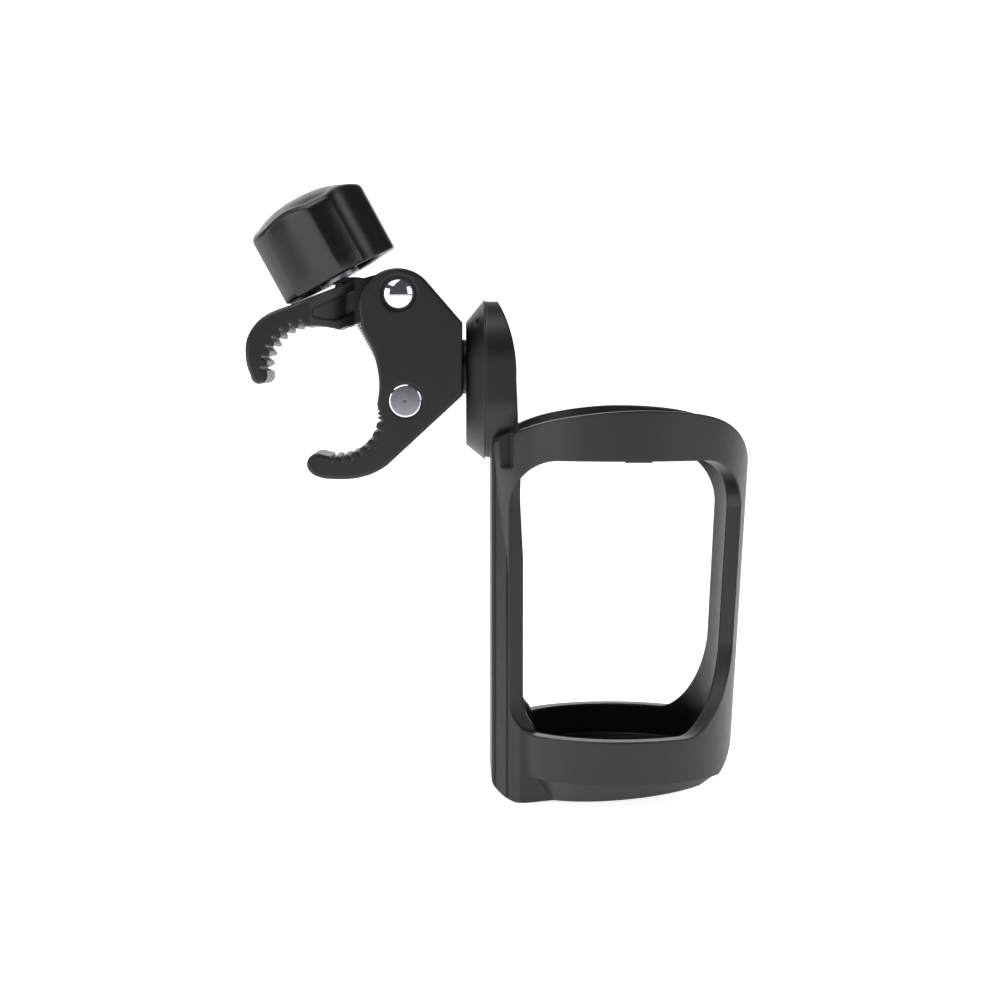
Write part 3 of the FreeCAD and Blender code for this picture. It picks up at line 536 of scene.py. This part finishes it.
class OBJECT_OT_cup_holder_pins(bpy.types.Operator):
    """Pivot rivet with its domed head, and the barrel nut with its faced ends."""

    bl_idname = "object.cup_holder_pins"
    bl_label = "Rivet and barrel nut"

    def execute(self, context):
        colours = context.scene.cup_holder_colours
        low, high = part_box("pivot_rivet")
        middle = centre_of("pivot_rivet")
        origin = np.array([middle[0], 0.0, middle[2]])
        axes = np.array([origin, [0.0, 0.0, 1.0], [1.0, 0.0, 0.0], [0.0, 1.0, 0.0]])
        head, foot = low[1], high[1]
        rim, shank = 5.2 * MM, 3.0 * MM
        # the head is a cap: height = crown * (1 - (radius / rim) ** 2), standing on a short straight rim
        share = np.linspace(0.02, 1.0, 16)
        crown = 1.85 * MM
        profile = [(rim * s, head + crown * s ** 2) for s in share]
        profile += [(rim, head + 2.28 * MM), (rim - 0.05 * MM, head + 2.3 * MM), (shank,
                                                                                  head + 2.32 * MM)]
        back = 1.75 * MM
        profile += [(shank, foot - back), (4.0 * MM, foot - back)]
        profile += [(4.0 * MM * s, foot - 0.9 * MM * s ** 2) for s in share[::-1]]
        profile = np.array(profile)
        rivet = turned_piece("pivot_rivet_turned", axes, profile[:, 0], profile[:, 1], 128)
        polished = polished_steel("polished_plated_steel", colours.polished)
        stand_for(rivet, "pivot_rivet", "clamp", polished)
        self.nut(colours, polished)
        return {"FINISHED"}

    @staticmethod
    def nut(colours, polished):
        """Barrel nut: chamfered rims and dimpled faced ends; the cross bore isn't drawn."""
        low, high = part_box("barrel_nut")
        middle = centre_of("barrel_nut")
        origin = np.array([middle[0], 0.0, middle[2]])
        axes = np.array([origin, [0.0, 0.0, 1.0], [1.0, 0.0, 0.0], [0.0, 1.0, 0.0]])
        radius, start, end = 5.5 * MM, low[1], high[1]
        near = [(0.05 * MM, start + 0.6 * MM), (0.55 * MM, start + 0.12 * MM), (0.7 * MM, start),
                (4.75 * MM, start), (4.95 * MM, start + 0.05 * MM), (radius, start + 0.6 * MM)]
        far = [(r, start + end - h) for r, h in near[::-1]]
        profile = np.array(near + far)
        nut = turned_piece("barrel_nut_turned", axes, profile[:, 0], profile[:, 1], 128)
        faced = turned_steel("turned_steel", colours.turned, origin)
        stand_for(nut, "barrel_nut", "nut", faced)
        nut.data.materials.append(polished)
        mesh = nut.data
        for polygon in mesh.polygons:
            away = math.hypot(polygon.center[0] - origin[0], polygon.center[2] - origin[2])
            polygon.material_index = 1 if away > 4.8 * MM else 0


class OBJECT_OT_cup_holder_stage(bpy.types.Operator):
    """Pale floor, soft boxes, dim surroundings and the camera."""

    bl_idname = "object.cup_holder_stage"
    bl_label = "Studio"

    def execute(self, context):
        context.scene.view_settings.view_transform = "Standard"
        self.floor(context)
        self.lights(context)
        self.camera(context)
        return {"FINISHED"}

    @staticmethod
    def floor(context):
        """Floor that rises smoothly into a wall: height = 0, then a quarter circle, then straight up."""
        low = CAD_BOX[0][2] - 0.2 * MM
        bend, far, reach, tall = 1.2, 2.2, 5.0, 4.0
        turn = np.linspace(0.0, TAU / 4.0, 24)
        along = np.concatenate([[-4.0], far + bend * np.sin(turn), [far + bend]])
        height = np.concatenate([[0.0], bend - bend * np.cos(turn), [tall]])
        points = [(side, y, low + h) for y, h in zip(along, height) for side in (-reach, reach)]
        faces = [[2 * k, 2 * k + 1, 2 * k + 3, 2 * k + 2] for k in range(len(along) - 1)]
        sweep = new_piece("studio_floor", points, faces, 60.0)
        material, tree, place = base_material("pale_paper")
        paper = linear(context.scene.cup_holder_colours.floor)
        finish_shader(tree, {"Base Color": paper, "Specular IOR Level": 0.0, "Emission Color": paper,
                             "Emission Strength": PAPER_GLOW},
                      {"Roughness": varied(tree, place, 40.0, 0.85, 0.95)})
        sweep.data.materials.append(material)

    @staticmethod
    def lights(context):
        """Dim world fill and three soft boxes: above, right and left of the object."""
        world = bpy.data.worlds.new("studio_dim")
        world.use_nodes = True
        world.node_tree.nodes["Background"].inputs["Color"].default_value = WORLD_COLOUR
        world.node_tree.nodes["Background"].inputs["Strength"].default_value = WORLD_STRENGTH
        context.scene.world = world
        aim = Vector(LIGHT_AIM)
        for name, place, size, power in SOFT_BOXES:
            light = bpy.data.lights.new(name, "AREA")
            light.shape = "SQUARE"
            light.size = size
            light.energy = power
            lamp = bpy.data.objects.new(name, light)
            turn = (aim - Vector(place)).to_track_quat("-Z", "Y")
            lamp.matrix_world = Matrix.LocRotScale(Vector(place), turn, None)
            context.scene.collection.objects.link(lamp)

    @staticmethod
    def camera(context):
        """Camera above the rim, tilted slightly down and almost square on to the clamp's side."""
        data = bpy.data.cameras.new("studio_camera")
        data.sensor_width = 36.0
        data.lens = CAMERA_LENS_MM
        data.clip_start = 0.01
        camera = bpy.data.objects.new("studio_camera", data)
        yaw, pitch = math.radians(CAMERA_YAW_DEGREES), math.radians(CAMERA_DIP_DEGREES)
        look = Vector((math.sin(yaw) * math.cos(pitch), math.cos(yaw) * math.cos(pitch),
                       -math.sin(pitch)))
        place = Vector(CAMERA_PLACE)
        camera.matrix_world = Matrix.LocRotScale(place, look.to_track_quat("-Z", "Y"), None)
        context.scene.collection.objects.link(camera)
        context.scene.camera = camera


class VIEW3D_PT_cup_holder(bpy.types.Panel):
    """Sidebar panel that lists the steps."""

    bl_label = "Cup holder"
    bl_idname = "VIEW3D_PT_cup_holder"
    bl_space_type = "VIEW_3D"
    bl_region_type = "UI"
    bl_category = "Cup holder"

    def draw(self, context):
        layout = self.layout
        for kind in OPERATORS:
            layout.operator(kind.bl_idname)
        for group in (context.scene.cup_holder_sizes, context.scene.cup_holder_colours):
            for name in group.bl_rna.properties.keys():
                if name not in ("rna_type", "name"):
                    layout.prop(group, name)


OPERATORS = (
    OBJECT_OT_cup_holder_plastics,
    OBJECT_OT_cup_holder_hardware,
    OBJECT_OT_cup_holder_screw,
    OBJECT_OT_cup_holder_knob,
    OBJECT_OT_cup_holder_pins,
    OBJECT_OT_cup_holder_stage,
)
CLASSES = (CupHolderSizes, CupHolderColours) + OPERATORS + (VIEW3D_PT_cup_holder,)


def register():
    """Register the classes and hang the settings on the scene."""
    for kind in CLASSES:
        bpy.utils.register_class(kind)
    bpy.types.Scene.cup_holder_sizes = bpy.props.PointerProperty(type=CupHolderSizes)
    bpy.types.Scene.cup_holder_colours = bpy.props.PointerProperty(type=CupHolderColours)


def unregister():
    """Take the settings and classes away again."""
    del bpy.types.Scene.cup_holder_colours
    del bpy.types.Scene.cup_holder_sizes
    for kind in reversed(CLASSES):
        bpy.utils.unregister_class(kind)


def main():
    """Run every operator in order."""
    register()
    for kind in OPERATORS:
        group, name = kind.bl_idname.split(".")
        getattr(getattr(bpy.ops, group), name)()


if __name__ == "__main__":
    main()
